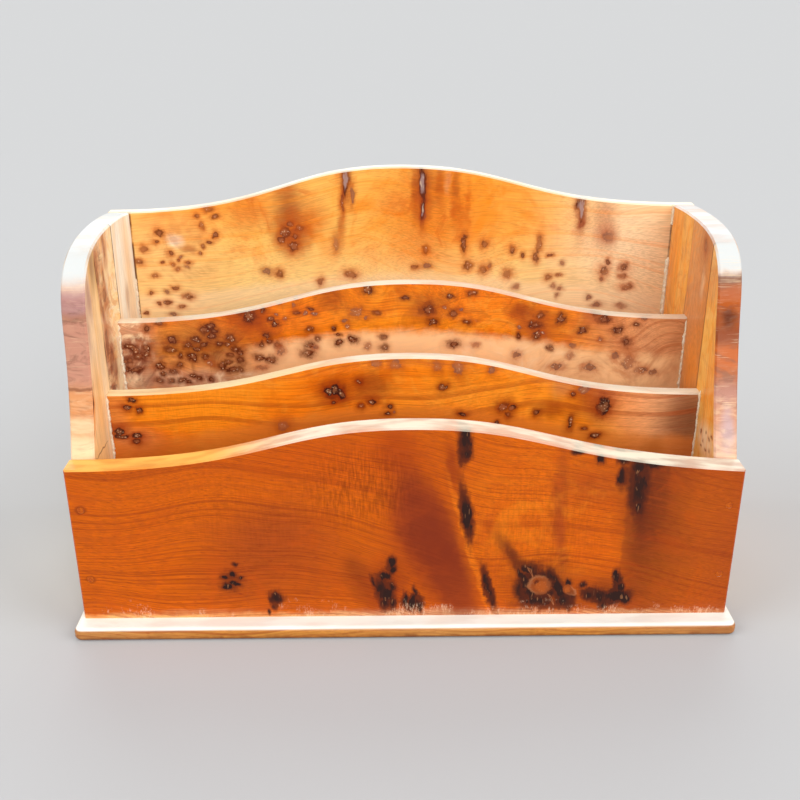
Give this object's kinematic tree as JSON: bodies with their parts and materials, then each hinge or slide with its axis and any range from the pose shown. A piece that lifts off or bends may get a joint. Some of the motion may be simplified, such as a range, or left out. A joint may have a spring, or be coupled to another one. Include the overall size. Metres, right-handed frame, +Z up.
{
  "type": "letter box",
  "caption": "Open-topped desk box with wavy-topped upright boards that part it into slots for letters, papers and keepsakes.",
  "frame": {"origin": "centre of the base board's underside, on the surface that the box stands on", "axes": "+X to the right along the box's length, +Y from the low front panel to the tall back panel, +Z up"},
  "size_m": [0.3066, 0.1336, 0.1932],
  "materials": {
    "back_panel": "gloss varnish over burl wood",
    "pin_steel": "bare drawn wire",
    "plug_filler": "tinted wood filler under varnish",
    "base_board": "gloss varnish over burl wood",
    "front_divider": "gloss varnish over burl wood",
    "front_panel": "gloss varnish over burl wood",
    "left_side_front": "gloss varnish over burl wood",
    "left_side_middle": "gloss varnish over burl wood",
    "left_side_rear": "gloss varnish over burl wood",
    "rear_divider": "gloss varnish over burl wood",
    "right_side_front": "gloss varnish over burl wood",
    "right_side_middle": "gloss varnish over burl wood",
    "right_side_rear": "gloss varnish over burl wood"
  },
  "bodies": {
    "root": {"back_panel": "back_panel", "back_pin_left_high": "pin_steel", "back_pin_left_low": "pin_steel", "back_pin_right_high": "pin_steel", "back_pin_right_low": "pin_steel", "back_plug_left_high": "plug_filler", "back_plug_left_low": "plug_filler", "back_plug_right_high": "plug_filler", "back_plug_right_low": "plug_filler", "base_board": "base_board", "base_pin_back_left": "pin_steel", "base_pin_back_right": "pin_steel", "base_pin_front_left": "pin_steel", "base_pin_front_right": "pin_steel", "base_pin_left_front": "pin_steel", "base_pin_left_rear": "pin_steel", "base_pin_right_front": "pin_steel", "base_pin_right_rear": "pin_steel", "front_divider": "front_divider", "front_panel": "front_panel", "front_pin_left_high": "pin_steel", "front_pin_left_low": "pin_steel", "front_pin_right_high": "pin_steel", "front_pin_right_low": "pin_steel", "front_plug_left_high": "plug_filler", "front_plug_left_low": "plug_filler", "front_plug_right_high": "plug_filler", "front_plug_right_low": "plug_filler", "left_side_front": "left_side_front", "left_side_middle": "left_side_middle", "left_side_rear": "left_side_rear", "rear_divider": "rear_divider", "right_side_front": "right_side_front", "right_side_middle": "right_side_middle", "right_side_rear": "right_side_rear"}
  },
  "joints": []
}
